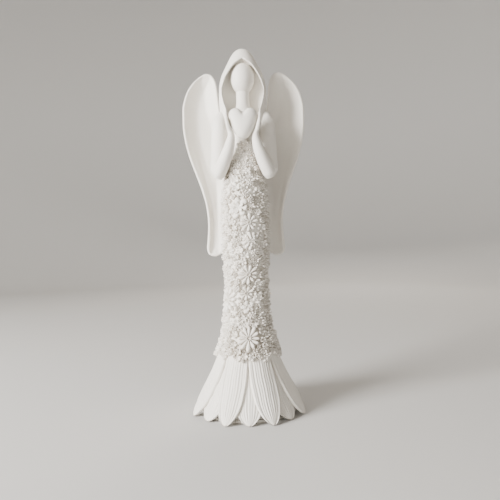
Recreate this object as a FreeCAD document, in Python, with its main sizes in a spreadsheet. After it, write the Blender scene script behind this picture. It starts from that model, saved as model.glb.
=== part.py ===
import FreeCAD, Part
import math
import os
import Sketcher
from FreeCAD import Placement, Rotation, Vector

# Resin angel figurine, in millimetres. +Z is up and the figure faces -Y, so its own left is +X.
# The origin is the centre of the flat base.

os.makedirs("parts", exist_ok=True)
doc = FreeCAD.newDocument("resin_angel")
sheet = doc.addObject("Spreadsheet::Sheet", "sizes")

UP = Vector(0, 0, 1)
FORWARD = Vector(0, -1, 0)

# ---------------------------------------------------------------- driving dimensions

SIZES = {
    # foot of the figure
    "base_radius": 26.0,
    "base_height": 1.8,
    "base_edge": 0.4,
    # petals of the hem: one flared shell per layer, cut to a leaf outline
    "petal_count": 8,
    "petal_foot": 0.4,
    "petal_top": 34.2,
    "petal_thickness": 2.0,
    "petal_layer_gap": 0.2,
    "hem_foot_radius": 32.0,
    "hem_top_radius": 16.0,
    "hem_flare_radius": 153.0,
    "petal_sector": 60.0,
    "petal_widest": 14.5,
    "petal_tip_height": 3.2,
    "petal_side_radius": 18.0,
    "outer_petal_half_width": 7.4,
    "outer_petal_half_top": 5.0,
    "outer_petal_half_tip": 4.6,
    "outer_petal_tip_radius": 5.4,
    "inner_petal_half_width": 7.6,
    "inner_petal_half_top": 4.0,
    "inner_petal_half_tip": 4.8,
    "inner_petal_tip_radius": 5.6,
    "inner_petal_root_thickness": 1.2,
    "petal_blank_half_width": 30.0,
    "petal_blank_top": 50.0,
    # flowers on the dress
    "flower_gap": 0.1,
    "flower_relief": 1.6,
    "flower_blank_height": 4.0,
    "flower_valley": 0.80,
    "blossom_radius": 2.2,
    "blossom_relief": 1.3,
    "blossom_valley": 0.72,
    "blossom_seat": 0.3,
    "blossom_clearance": 0.2,
    "blossom_first_row": 3.0,
    "blossom_row_pitch": 5.0,
    "blossom_pitch": 5.3,
    # head
    "head_half_width": 6.6,
    "head_half_depth": 7.0,
    "head_half_height": 9.0,
    "head_height": 183.0,
    "head_setback": -0.8,
    "neck_socket_radius": 3.8,
    "neck_socket_drop": 0.1,
    "neck_socket_top": 176.5,
    # heart: two crossed lobes
    "heart_lobe_long": 8.6,
    "heart_lobe_short": 4.4,
    "heart_half_depth": 4.2,
    "heart_lobe_side": 2.45,
    "heart_lobe_lean": 22.0,
    "heart_height": 154.9,
    "heart_setback": -14.5,
    # veil
    "veil_thickness": 1.3,
    "veil_mouth_back": 0.5,
    "veil_drape_front": 4.6,
    "veil_drape_top": 164.2,
    "mouth_middle": 0.0,
    "mouth_apex": 192.6,
    "mouth_widest": 176.0,
    "mouth_half_width": 11.2,
    "mouth_upper_radius": 32.0,
    "mouth_chin_half_width": 8.2,
    "mouth_chin": 164.0,
    "mouth_foot": 156.0,
    "cutter_reach": 30.0,
    "cutter_floor": 100.0,
    # wings: a shallow bowl between two ellipsoids
    "wing_bowl_side": 20.0,
    "wing_bowl_setback": 5.2,
    "wing_bowl_height": 140.0,
    "wing_bowl_half_width": 24.0,
    "wing_bowl_half_depth": 11.5,
    "wing_bowl_half_height": 75.0,
    "wing_thickness": 2.4,
    "wing_blank_depth": 20.0,
    "tenon_radius": 1.5,
    "tenon_side": 5.8,
    "tenon_height": 146.0,
    "tenon_front": 3.6,
    "tenon_back": 12.5,
    "socket_radius": 1.65,
    "socket_front_clearance": 0.2,
    "socket_back_clearance": 4.0,
}

# Stations of the lofted pieces, from the lowest up:
# (name, height, half width, half depth, side, setback)
STATIONS = {
    "skirt": [
        ("foot", 1.9, 25.6, 25.6, 0, 0),
        ("flare", 10.0, 21.8, 21.8, 0, 0),
        ("shin", 20.0, 16.6, 16.6, 0, 0),
        ("top", 34.6, 12.4, 12.4, 0, 0),
    ],
    "column": [
        ("lip", 34.5, 15.6, 15.6, 0, 0),
        ("shin", 40.0, 14.0, 14.0, 0, 0),
        ("calf", 46.0, 12.4, 12.4, 0, 0),
        ("knee", 56.0, 11.2, 11.2, 0, 0),
        ("leg", 64.0, 10.95, 10.95, 0, 0),
        ("thigh", 72.0, 10.95, 10.95, 0, 0),
        ("hip", 80.0, 11.25, 11.25, 0, 0),
        ("seat", 88.0, 11.7, 11.7, 0, 0),
        ("belly", 96.0, 12.15, 12.15, 0, 0),
        ("midriff", 104.0, 12.35, 12.35, 0, 0),
        ("side", 114.0, 12.0, 12.0, 0, 0),
        ("waist", 124.0, 11.1, 11.1, 0, 0),
    ],
    "bodice": [
        ("waist", 124.1, 11.0, 11.0, 0, 0),
        ("ribs", 132.0, 9.3, 9.2, 0, 0),
        ("chest", 140.0, 8.5, 8.0, 0, 0),
        ("bust", 150.0, 7.9, 7.5, 0, 0),
        ("shoulder", 158.0, 7.8, 7.2, 0, 0),
        ("slope", 163.0, 6.5, 6.0, 0, 0),
        ("top", 165.5, 4.6, 4.4, 0, 0),
    ],
    "neck": [
        ("foot", 165.6, 4.5, 4.3, 0, 0),
        ("throat", 169.0, 3.7, 3.65, 0, -0.3),
        ("top", 176.3, 3.6, 3.55, 0, -0.8),
    ],
    "upper_arm": [
        ("elbow_tip", 127.6, 2.2, 2.3, 14.2, -6.2),
        ("elbow", 131.8, 4.1, 4.1, 14.1, -5.4),
        ("sleeve", 139.0, 4.5, 4.4, 13.7, -4.0),
        ("upper", 149.0, 4.6, 4.5, 13.4, -2.4),
        ("shoulder", 157.6, 4.3, 4.2, 13.1, -1.2),
        ("top", 163.2, 2.8, 2.9, 11.4, -0.6),
    ],
    "forearm": [
        ("elbow", 127.4, 2.2, 2.2, 14.2, -7.2),
        ("sleeve", 130.0, 3.5, 3.6, 13.2, -8.2),
        ("middle", 134.4, 3.8, 3.8, 11.3, -10.0),
        ("cuff", 139.6, 3.3, 3.4, 9.0, -11.9),
        ("heel", 144.8, 2.6, 3.0, 7.4, -13.2),
        ("wrist", 148.4, 1.8, 2.4, 6.9, -14.0),
        ("end", 150.0, 1.4, 2.1, 7.1, -14.3),
    ],
    "hand": [
        ("wrist", 150.1, 1.3, 1.9, 7.1, -14.4),
        ("palm", 152.8, 1.0, 2.4, 7.8, -14.2),
        ("fingers", 156.6, 0.85, 2.3, 8.8, -14.0),
        ("tips", 161.0, 0.45, 1.1, 8.9, -13.8),
    ],
    "veil": [
        ("hemline", 136.0, 12.0, 8.6, 0, 1.6),
        ("back", 150.0, 12.2, 8.4, 0, 1.2),
        ("shoulder", 164.0, 12.7, 9.3, 0, 1.0),
        ("cheek", 172.0, 13.2, 10.0, 0, 0.6),
        ("temple", 178.0, 13.0, 9.9, 0, 0.4),
        ("brow", 184.0, 11.8, 9.1, 0, 0.2),
        ("crown", 190.0, 9.2, 7.3, 0, 0),
        ("peak", 196.0, 5.8, 4.7, 0, 0),
        ("tip", 200.0, 1.6, 1.4, 0, 0),
    ],
}

# Outline of the left wing seen from the front: (name, side, height), from the top round by the
# outer edge to the tail and back up the inner edge.
WING_OUTLINE = [
    ("top", 20.6, 190.2),
    ("crest", 25.4, 187.9),
    ("shoulder", 30.2, 182.6),
    ("widest", 35.0, 165.0),
    ("blade", 31.7, 142.5),
    ("taper", 24.4, 121.0),
    ("ankle", 21.7, 106.0),
    ("tail_side", 22.3, 90.4),
    ("tail", 18.2, 84.7),
    ("tail_inner", 13.4, 89.6),
    ("hip", 11.8, 112.0),
    ("root_foot", 4.6, 136.0),
    ("root_head", 5.2, 154.0),
    ("neck", 13.6, 170.0),
    ("brow", 15.0, 182.6),
    ("crest_inner", 16.8, 188.0),
]

# Main flowers: (node, degrees round from the front towards the left side, height, radius, petals)
MAIN_FLOWERS = [
    ("daisy_hem", 2.0, 41.2, 6.2, 12),
    ("daisy_side", -64.0, 61.1, 7.4, 12),
    ("daisy_middle", 5.0, 75.0, 5.4, 10),
    ("daisy_upper", 9.0, 102.7, 4.3, 9),
    ("fan_blossom", -16.0, 110.6, 5.0, 6),
    ("dahlia", 13.0, 93.0, 4.8, 14),
    ("daisy_small", -1.0, 64.9, 3.6, 8),
    ("rose_cup", 31.0, 62.5, 2.6, 5),
    ("rose_small", 2.3, 57.7, 3.1, 5),
]

# Half spans in degrees of the blossom rows that draw in to a point on the bodice, from the lowest.
POINT_ROW_SPANS = (50, 40, 28, 16)

# Steps for the slope of the dress at a point: round it, in radians, and up it, in millimetres.
TURN_STEP = 0.01
HEIGHT_STEP = 0.5

cell_row = 0


def put(alias, value):
    """Write one driving dimension to the sheet."""
    global cell_row
    cell_row += 1
    sheet.set(f"A{cell_row}", alias)
    sheet.set(f"B{cell_row}", str(value))
    sheet.setAlias(f"B{cell_row}", alias)


def fill_sheet():
    for alias, value in SIZES.items():
        put(alias, value)
    for part, stations in STATIONS.items():
        for name, height, width, depth, side, setback in stations:
            put(f"{part}_{name}_height", height)
            put(f"{part}_{name}_half_width", width)
            put(f"{part}_{name}_half_depth", depth)
            put(f"{part}_{name}_side", side)
            put(f"{part}_{name}_setback", setback)
    for name, side, height in WING_OUTLINE:
        put(f"wing_{name}_side", side)
        put(f"wing_{name}_height", height)
    for name, angle, height, radius, petals in MAIN_FLOWERS:
        put(f"{name}_angle", angle)
        put(f"{name}_height", height)
        put(f"{name}_radius", radius)
        put(f"{name}_petals", petals)
    doc.recompute()


def size(alias):
    """Value of a cell, as the sheet holds it."""
    return float(sheet.get(alias))


def bind(obj, **expressions):
    """Bind properties to the sheet; a double underscore in the key stands for a dot."""
    for key, expression in expressions.items():
        obj.setExpression(key.replace("__", "."), expression)


# ---------------------------------------------------------------- sketch and loft helpers


def body_plane(body, role):
    return next(f for f in body.Origin.OriginFeatures if f.Role == role)


def body_sketch(body, name, role):
    sketch = body.newObject("Sketcher::SketchObject", name)
    sketch.AttachmentSupport = [(body_plane(body, role), "")]
    sketch.MapMode = "FlatFace"
    return sketch


def signed(term):
    """Number and positive expression of a term such as '-base_radius' or 'base_radius'."""
    sign = -1 if term.startswith("-") else 1
    alias = term.lstrip("-")
    return sign, size(alias), f"sizes.{alias}"


def pin(sketch, geo, pos, kind, term):
    """Hold one coordinate of a sketch point at a cell's value, on either side of the origin."""
    sign, value, expression = signed(term)
    if sign > 0:
        index = sketch.addConstraint(Sketcher.Constraint(kind, -1, 1, geo, pos, value))
    else:
        index = sketch.addConstraint(Sketcher.Constraint(kind, geo, pos, -1, 1, value))
    sketch.setExpression(f"Constraints[{index}]", expression)


def outline(sketch, corners, arcs=None):
    """Closed outline through corners (x term, y term). arcs maps an edge's index to
    (cell with its radius, +1 or -1 for the side that it bulges to)."""
    arcs = arcs or {}
    xy = [Vector(signed(x)[0] * signed(x)[1], signed(y)[0] * signed(y)[1], 0) for x, y in corners]
    edges = []
    for i, start in enumerate(xy):
        end = xy[(i + 1) % len(xy)]
        if i in arcs:
            radius, side = size(arcs[i][0]), arcs[i][1]
            half = (end - start).Length / 2
            sag = radius - math.sqrt(radius * radius - half * half)
            normal = Vector(start.y - end.y, end.x - start.x, 0).normalize() * side
            edge = Part.Arc(start, (start + end) / 2 + normal * sag, end)
            geo = sketch.addGeometry(edge, False)
            forwards = (sketch.getPoint(geo, 1) - start).Length < 1e-6
            edges.append((geo, 1, 2) if forwards else (geo, 2, 1))
            index = sketch.addConstraint(Sketcher.Constraint("Radius", geo, radius))
            sketch.setExpression(f"Constraints[{index}]", f"sizes.{arcs[i][0]}")
        else:
            geo = sketch.addGeometry(Part.LineSegment(start, end), False)
            edges.append((geo, 1, 2))
    for i, (geo, start_pos, end_pos) in enumerate(edges):
        after, after_start, _ = edges[(i + 1) % len(edges)]
        sketch.addConstraint(Sketcher.Constraint("Coincident", geo, end_pos, after, after_start))
        pin(sketch, geo, start_pos, "DistanceX", corners[i][0])
        pin(sketch, geo, start_pos, "DistanceY", corners[i][1])


def station_ellipse(part, name, label, shrink, side):
    """One horizontal section of a lofted piece. shrink is a cell taken off both half sizes."""
    cell = f"sizes.{part}_{name}"
    inset = f" - sizes.{shrink}" if shrink else ""
    deep = size(f"{part}_{name}_half_depth") > size(f"{part}_{name}_half_width")
    long, short = ("half_depth", "half_width") if deep else ("half_width", "half_depth")
    section = doc.addObject("Part::Ellipse", label)
    section.Placement.Rotation = Rotation(UP, 90 if deep else 0)
    bind(section, MajorRadius=f"{cell}_{long}{inset}", MinorRadius=f"{cell}_{short}{inset}")
    bind(section, Placement__Base__x=f"{side} * {cell}_side")
    bind(section, Placement__Base__y=f"{cell}_setback", Placement__Base__z=f"{cell}_height")
    return section


def station_loft(part, label, shrink=None, side=1, stations=None):
    """Smooth solid through a piece's stations. side is -1 for the figure's right."""
    names = stations or [row[0] for row in STATIONS[part]]
    sections = [station_ellipse(part, n, f"{label}_{n}", shrink, side) for n in names]
    loft = doc.addObject("Part::Loft", label)
    loft.Sections = sections
    loft.Solid = True
    loft.Ruled = False
    return loft


def boolean(kind, label, base, tool):
    result = doc.addObject(f"Part::{kind}", label)
    result.Base = base
    result.Tool = tool
    return result


def post(label, radius, front, back, side, height):
    """Round post along Y between two setbacks. All arguments are expressions."""
    cylinder = doc.addObject("Part::Cylinder", label)
    cylinder.Placement.Rotation = Rotation(Vector(1, 0, 0), -90)
    bind(cylinder, Radius=radius, Height=f"{back} - ({front})")
    bind(cylinder, Placement__Base__x=side, Placement__Base__y=front, Placement__Base__z=height)
    return cylinder


# ---------------------------------------------------------------- foot, skirt and hem petals


def base_plate():
    body = doc.addObject("PartDesign::Body", "base_plate")
    sketch = body_sketch(body, "base_sketch", "XY_Plane")
    circle = sketch.addGeometry(Part.Circle(Vector(), UP, size("base_radius")), False)
    sketch.addConstraint(Sketcher.Constraint("Coincident", circle, 3, -1, 1))
    radius = sketch.addConstraint(Sketcher.Constraint("Radius", circle, size("base_radius")))
    sketch.setExpression(f"Constraints[{radius}]", "sizes.base_radius")
    pad = body.newObject("PartDesign::Pad", "base_pad")
    pad.Profile = sketch
    bind(pad, Length="sizes.base_height")
    doc.recompute()
    rims = [f"Edge{i + 1}" for i, e in enumerate(pad.Shape.Edges) if e.Closed]
    chamfer = body.newObject("PartDesign::Chamfer", "base_chamfer")
    chamfer.Base = (pad, rims)
    bind(chamfer, Size="sizes.base_edge")
    return body


def dress_core():
    """Solid skirt inside the petals and the slim column above them, in one casting."""
    skirt = station_loft("skirt", "skirt_loft")
    column = station_loft("column", "column_loft")
    return boolean("Fuse", "dress_core", skirt, column)


def petal(label, layer, turn):
    """One hem petal: a sector of the flared shell, pocketed to a leaf with a blunt round tip."""
    body = doc.addObject("PartDesign::Body", label)
    profile = body_sketch(body, f"{label}_profile", "YZ_Plane")
    corners = [
        (f"-{layer}_foot_outside", "petal_foot"),
        (f"-{layer}_foot_inside", "petal_foot"),
        (f"-{layer}_top_inside", "petal_top"),
        (f"-{layer}_top_outside", "petal_top"),
    ]
    outline(profile, corners, {1: ("hem_flare_radius", -1), 3: ("hem_flare_radius", 1)})
    shell = body.newObject("PartDesign::Revolution", f"{label}_shell")
    shell.Profile = profile
    shell.ReferenceAxis = (profile, ["V_Axis"])
    shell.Midplane = True
    bind(shell, Angle="sizes.petal_sector")
    leaf = body_sketch(body, f"{label}_leaf", "XZ_Plane")
    blank = [
        ("-petal_blank_half_width", "-petal_blank_top"),
        ("petal_blank_half_width", "-petal_blank_top"),
        ("petal_blank_half_width", "petal_blank_top"),
        ("-petal_blank_half_width", "petal_blank_top"),
    ]
    outline(leaf, blank)
    edge = [
        (f"-{layer}_half_tip", "petal_tip_height"),
        (f"{layer}_half_tip", "petal_tip_height"),
        (f"{layer}_half_width", "petal_widest"),
        (f"{layer}_half_top", "petal_leaf_top"),
        (f"-{layer}_half_top", "petal_leaf_top"),
        (f"-{layer}_half_width", "petal_widest"),
    ]
    side = ("petal_side_radius", -1)
    outline(leaf, edge, {0: (f"{layer}_tip_radius", -1), 1: side, 5: side})
    trim = body.newObject("PartDesign::Pocket", f"{label}_trim")
    trim.Profile = leaf
    trim.Type = "ThroughAll"
    trim.Midplane = True
    body.Placement = Placement(Vector(), Rotation(UP, turn))
    return body


def hem_petals():
    """Radii of the two petal layers go to the sheet as formulas, then the petals follow."""
    formulas = {
        "outer_petal_foot_outside": "=hem_foot_radius",
        "outer_petal_foot_inside": "=hem_foot_radius - petal_thickness",
        "outer_petal_top_outside": "=hem_top_radius",
        "outer_petal_top_inside": "=hem_top_radius - petal_thickness",
        "inner_petal_foot_outside": "=outer_petal_foot_inside - petal_layer_gap",
        "inner_petal_foot_inside": "=inner_petal_foot_outside - petal_thickness",
        "inner_petal_top_outside": "=outer_petal_top_inside - petal_layer_gap",
        "inner_petal_top_inside": "=inner_petal_top_outside - inner_petal_root_thickness",
        "petal_leaf_top": "=petal_top + petal_thickness",
    }
    for alias, formula in formulas.items():
        put(alias, formula)
    doc.recompute()
    count = int(size("petal_count"))
    step = 360 / count
    outer = [petal(f"outer_petal_{i + 1}", "outer_petal", (i + 0.5) * step) for i in range(count)]
    inner = [petal(f"inner_petal_{i + 1}", "inner_petal", i * step) for i in range(count)]
    return outer + inner


# ---------------------------------------------------------------- body, head, arms and heart


def wing_socket(label, side):
    return post(label, "sizes.socket_radius", "sizes.tenon_front - sizes.socket_front_clearance",
                "sizes.tenon_back + sizes.socket_back_clearance",
                f"{side} * sizes.tenon_side", "sizes.tenon_height")


def with_wing_sockets(label, solid):
    left = boolean("Cut", f"{label}_left_socket", solid, wing_socket(f"{label}_left_drill", 1))
    return boolean("Cut", label, left, wing_socket(f"{label}_right_drill", -1))


def bodice():
    return with_wing_sockets("bodice", station_loft("bodice", "bodice_loft"))


def neck():
    return station_loft("neck", "neck")


def ellipsoid(label, half_width, half_depth, half_height, side, setback, height):
    """Full ellipsoid. All sizes and places are expressions."""
    shape = doc.addObject("Part::Ellipsoid", label)
    bind(shape, Radius1=half_height, Radius2=half_width, Radius3=half_depth)
    bind(shape, Placement__Base__x=side, Placement__Base__y=setback, Placement__Base__z=height)
    return shape


def head():
    """Smooth faceless egg with a socket under the chin for the neck."""
    egg = ellipsoid("head_egg", "sizes.head_half_width", "sizes.head_half_depth",
                    "sizes.head_half_height", "0", "sizes.head_setback", "sizes.head_height")
    drill = doc.addObject("Part::Cylinder", "neck_drill")
    bind(drill, Radius="sizes.neck_socket_radius", Height="sizes.head_half_height")
    bind(drill, Placement__Base__y="sizes.neck_top_setback + sizes.neck_socket_drop")
    bind(drill, Placement__Base__z="sizes.neck_socket_top - sizes.head_half_height")
    return boolean("Cut", "head", egg, drill)


def heart():
    """Puffy heart: two ellipsoids that lean apart and share the tip."""
    lobes = []
    for name, side in (("left", 1), ("right", -1)):
        lobe = ellipsoid(f"heart_{name}_lobe", "sizes.heart_lobe_short", "sizes.heart_half_depth",
                         "sizes.heart_lobe_long", f"{side} * sizes.heart_lobe_side",
                         "sizes.heart_setback", "sizes.heart_height")
        lobe.Placement.Rotation = Rotation(Vector(0, 1, 0), side * size("heart_lobe_lean"))
        lobes.append(lobe)
    return boolean("Fuse", "heart", *lobes)


def arm(name, side):
    """Upper arm, forearm and hand of one side. The forearm is scribed to the upper arm."""
    upper = station_loft("upper_arm", f"upper_arm_{name}", side=side)
    blank = station_loft("forearm", f"forearm_{name}_blank", side=side)
    fore = boolean("Cut", f"forearm_{name}", blank, upper)
    hand = station_loft("hand", f"hand_{name}", side=side)
    return [upper, fore, hand]


# ---------------------------------------------------------------- veil


def veil():
    """Hood and back drape in one shell, with a pointed mouth and open below the shoulders."""
    outside = station_loft("veil", "veil_outside")
    inner_stations = [row[0] for row in STATIONS["veil"]][:-1]
    inside = station_loft("veil", "veil_inside", shrink="veil_thickness", stations=inner_stations)
    shell = boolean("Cut", "veil_shell", outside, inside)
    mouth = doc.addObject("Sketcher::SketchObject", "veil_mouth")
    mouth.Placement = Placement(Vector(), Rotation(Vector(1, 0, 0), 90))
    corners = [
        ("mouth_middle", "mouth_apex"),
        ("-mouth_half_width", "mouth_widest"),
        ("-mouth_chin_half_width", "mouth_chin"),
        ("-mouth_half_width", "mouth_foot"),
        ("mouth_half_width", "mouth_foot"),
        ("mouth_chin_half_width", "mouth_chin"),
        ("mouth_half_width", "mouth_widest"),
    ]
    outline(mouth, corners, {0: ("mouth_upper_radius", -1), 6: ("mouth_upper_radius", -1)})
    bind(mouth, Placement__Base__y="sizes.veil_mouth_back")
    cutter = doc.addObject("Part::Extrusion", "veil_mouth_cutter")
    cutter.Base = mouth
    cutter.DirMode = "Custom"
    cutter.Dir = FORWARD
    bind(cutter, LengthFwd="sizes.cutter_reach")
    cutter.Solid = True
    open_hood = boolean("Cut", "veil_hood", shell, cutter)
    below = doc.addObject("Part::Box", "veil_front_cutter")
    bind(below, Length="2 * sizes.cutter_reach", Width="sizes.cutter_reach + sizes.veil_drape_front")
    bind(below, Height="sizes.veil_drape_top - sizes.cutter_floor")
    bind(below, Placement__Base__x="-sizes.cutter_reach", Placement__Base__y="-sizes.cutter_reach")
    bind(below, Placement__Base__z="sizes.cutter_floor")
    drape = boolean("Cut", "veil_drape", open_hood, below)
    return with_wing_sockets("veil", drape)


# ---------------------------------------------------------------- wings


def wing_face(label):
    """Flat outline of the left wing in the XZ plane: one smooth closed curve."""
    points = [Vector(size(f"wing_{n}_side"), 0, size(f"wing_{n}_height")) for n, _, _ in WING_OUTLINE]
    curve = Part.BSplineCurve()
    curve.interpolate(Points=points, PeriodicFlag=True)
    face = doc.addObject("Part::Feature", label)
    face.Shape = Part.Face(Part.Wire(curve.toShape()))
    return face


def wing_left():
    """Outline extruded backwards and kept where it meets the bowl, with a tenon for the back."""
    outer = ellipsoid("wing_bowl_back", "sizes.wing_bowl_half_width", "sizes.wing_bowl_half_depth",
                      "sizes.wing_bowl_half_height", "sizes.wing_bowl_side",
                      "sizes.wing_bowl_setback", "sizes.wing_bowl_height")
    inner = ellipsoid("wing_bowl_front", "sizes.wing_bowl_half_width - sizes.wing_thickness",
                      "sizes.wing_bowl_half_depth - sizes.wing_thickness",
                      "sizes.wing_bowl_half_height - sizes.wing_thickness",
                      "sizes.wing_bowl_side", "sizes.wing_bowl_setback", "sizes.wing_bowl_height")
    bowl = boolean("Cut", "wing_bowl", outer, inner)
    face = wing_face("wing_outline")
    bind(face, Placement__Base__y="sizes.wing_bowl_setback")
    blank = doc.addObject("Part::Extrusion", "wing_blank")
    blank.Base = face
    blank.DirMode = "Custom"
    blank.Dir = -FORWARD
    bind(blank, LengthFwd="sizes.wing_blank_depth")
    blank.Solid = True
    blade = boolean("Common", "wing_blade", bowl, blank)
    tenon = post("wing_tenon", "sizes.tenon_radius", "sizes.tenon_front", "sizes.tenon_back",
                 "sizes.tenon_side", "sizes.tenon_height")
    return boolean("Fuse", "wing_left", blade, tenon)


def wing_right(left):
    mirror = doc.addObject("Part::Mirroring", "wing_right")
    mirror.Source = left
    mirror.Normal = Vector(1, 0, 0)
    return mirror


# ---------------------------------------------------------------- flowers


def dress_radii(height):
    """Half width and half depth of the column or bodice at a height, between stations."""
    rows = STATIONS["column"] + STATIONS["bodice"][1:]
    for low, high in zip(rows, rows[1:]):
        if low[1] <= height <= high[1]:
            t = (height - low[1]) / (high[1] - low[1])
            return tuple(low[i] + t * (high[i] - low[i]) for i in (2, 3))
    raise ValueError(f"no dress at height {height}")


def dress_point(angle, height):
    """Point of the dress and its outward direction. The angle is 0 in front, + to the left."""
    turn = math.radians(angle)

    def place(turn, height):
        half_width, half_depth = dress_radii(height)
        return Vector(half_width * math.sin(turn), -half_depth * math.cos(turn), height)

    point = place(turn, height)
    around = place(turn + TURN_STEP, height) - place(turn - TURN_STEP, height)
    along = place(turn, height + HEIGHT_STEP) - place(turn, height - HEIGHT_STEP)
    return point, around.cross(along).normalize()


def lobed_wire(radius, petals, valley):
    """Flower outline with one round arc per petal; valley is the notch radius's share."""
    def polar(share, turn):
        return Vector(radius * share * math.cos(turn), radius * share * math.sin(turn), 0)

    step = 2 * math.pi / petals
    arcs = []
    for i in range(petals):
        start, end = polar(valley, i * step), polar(valley, (i + 1) * step)
        arcs.append(Part.Arc(start, polar(1.0, (i + 0.5) * step), end).toShape())
    return Part.Wire(arcs)


def flower_layer():
    """Thin sleeve over the column that every main flower is cut from."""
    layer = []
    for name, gap in (("under", "sizes.flower_gap"), ("over", "sizes.flower_gap + sizes.flower_relief")):
        loft = station_loft("column", f"flower_{name}")
        for section in loft.Sections:
            cell = f"sizes.column_{section.Label.split('_')[-1]}"
            bind(section, MajorRadius=f"{cell}_half_width + {gap}", MinorRadius=f"{cell}_half_depth + {gap}")
        layer.append(loft)
    return boolean("Cut", "flower_layer", layer[1], layer[0])


def main_flower(name, layer):
    """One flower: its lobed outline, extruded towards the dress, kept where it meets the layer."""
    point, outward = dress_point(size(f"{name}_angle"), size(f"{name}_height"))
    petals = int(size(f"{name}_petals"))
    wire = lobed_wire(size(f"{name}_radius"), petals, size("flower_valley"))
    face = doc.addObject("Part::Feature", f"{name}_outline")
    face.Shape = Part.Face(wire)
    face.Placement = Placement(point + outward * size("flower_blank_height"), Rotation(UP, outward))
    blank = doc.addObject("Part::Extrusion", f"{name}_blank")
    blank.Base = face
    blank.DirMode = "Custom"
    blank.Dir = -outward
    bind(blank, LengthFwd=f"sizes.flower_blank_height + sizes.{name}_radius")
    blank.Solid = True
    return boolean("Common", name, layer, blank)


def clear_of_main_flowers(point, margin):
    for name, _, _, _, _ in MAIN_FLOWERS:
        centre, _ = dress_point(size(f"{name}_angle"), size(f"{name}_height"))
        if (point - centre).Length < size(f"{name}_radius") + margin:
            return False
    return True


def blossom_row(height, offset, half_span):
    """Five-petalled blossoms round the dress at one height, within half_span degrees of the front."""
    radius, relief = size("blossom_radius"), size("blossom_relief")
    half_width, half_depth = dress_radii(height)
    count = int(math.pi * (half_width + half_depth) / size("blossom_pitch"))
    blossoms = []
    for i in range(count):
        angle = (i + offset) * 360 / count - 180
        point, outward = dress_point(angle, height)
        if abs(angle) > half_span or not clear_of_main_flowers(point, radius + size("blossom_clearance")):
            continue
        solid = Part.Face(lobed_wire(radius, 5, size("blossom_valley"))).extrude(UP * relief)
        seat = point + outward * size("blossom_seat")
        solid.Placement = Placement(seat, Rotation(UP, outward))
        blossoms.append(solid)
    return blossoms


def blossom_bands():
    """Blossoms of the column in bands of two rows, and the point of the V on the bodice."""
    pitch = size("blossom_row_pitch")
    first = size("column_lip_height") + size("blossom_first_row")
    rows = []
    while first + len(rows) * pitch < size("column_waist_height"):
        number = len(rows)
        rows.append(blossom_row(first + number * pitch, 0.5 * (number % 2), 180))
    bands = [rows[i] + rows[i + 1] for i in range(0, len(rows) - 1, 2)]
    last = first + (len(rows) - 1) * pitch
    point_rows = []
    for number, half_span in enumerate(POINT_ROW_SPANS, start=1):
        offset = 0.5 * ((len(rows) + number - 1) % 2)
        point_rows += blossom_row(last + number * pitch, offset, half_span)
    bands.append(point_rows)
    nodes = []
    for number, band in enumerate(bands):
        node = doc.addObject("Part::Feature", f"blossom_band_{number + 1}")
        node.Shape = Part.makeCompound(band)
        nodes.append(node)
    return nodes


# ---------------------------------------------------------------- assembly


def build():
    fill_sheet()
    nodes = [base_plate(), dress_core()]
    nodes += hem_petals()
    nodes += [bodice(), neck(), head(), heart()]
    nodes += arm("left", 1) + arm("right", -1)
    left = wing_left()
    nodes += [veil(), left, wing_right(left)]
    layer = flower_layer()
    nodes += [main_flower(row[0], layer) for row in MAIN_FLOWERS]
    nodes += blossom_bands()
    doc.recompute()
    return nodes


def check_and_export(nodes):
    for obj in doc.Objects:
        if "Invalid" in obj.State or "Error" in obj.State:
            raise RuntimeError(f"{obj.Label} failed: {obj.State}")
    for node in nodes:
        shape = node.Shape
        if shape.isNull() or not shape.isValid() or not shape.Solids:
            raise RuntimeError(f"{node.Label} has no valid solid")
        if any(solid.Volume <= 0 for solid in shape.Solids):
            raise RuntimeError(f"{node.Label} has a solid with no volume")
        shape.exportStep(f"parts/{node.Label}.step")


check_and_export(build())
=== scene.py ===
import math
import random

import bpy
import numpy as np
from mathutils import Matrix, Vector


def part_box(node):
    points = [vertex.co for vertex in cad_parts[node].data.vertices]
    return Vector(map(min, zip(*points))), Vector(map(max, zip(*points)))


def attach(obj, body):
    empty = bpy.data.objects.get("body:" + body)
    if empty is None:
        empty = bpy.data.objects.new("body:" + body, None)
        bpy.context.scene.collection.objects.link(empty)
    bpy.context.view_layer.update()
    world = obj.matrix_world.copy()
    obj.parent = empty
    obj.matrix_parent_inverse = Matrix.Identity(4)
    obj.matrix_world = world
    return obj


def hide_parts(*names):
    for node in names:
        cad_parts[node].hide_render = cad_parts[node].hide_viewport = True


# Looks of the resin angel figurine. Shapes are worked out in millimetres and scaled to metres
# when a mesh is made. The figure stands on z = 0 and faces -Y, so its own left is +X.

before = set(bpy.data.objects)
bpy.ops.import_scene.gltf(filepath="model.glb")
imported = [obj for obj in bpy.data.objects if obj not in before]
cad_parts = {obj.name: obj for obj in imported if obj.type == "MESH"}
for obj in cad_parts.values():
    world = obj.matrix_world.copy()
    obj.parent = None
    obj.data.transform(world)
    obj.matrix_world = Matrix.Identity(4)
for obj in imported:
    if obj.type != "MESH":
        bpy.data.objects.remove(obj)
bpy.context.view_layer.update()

MM = 0.001
SEED = 11
HEM_PETALS = 8
BLOSSOM_BANDS = 10


def box_mm(node):
    """Lowest and highest corner of a CAD node, in millimetres."""
    low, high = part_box(node)
    return np.array(low) / MM, np.array(high) / MM


# ---------------------------------------------------------------- curves and grids


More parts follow.
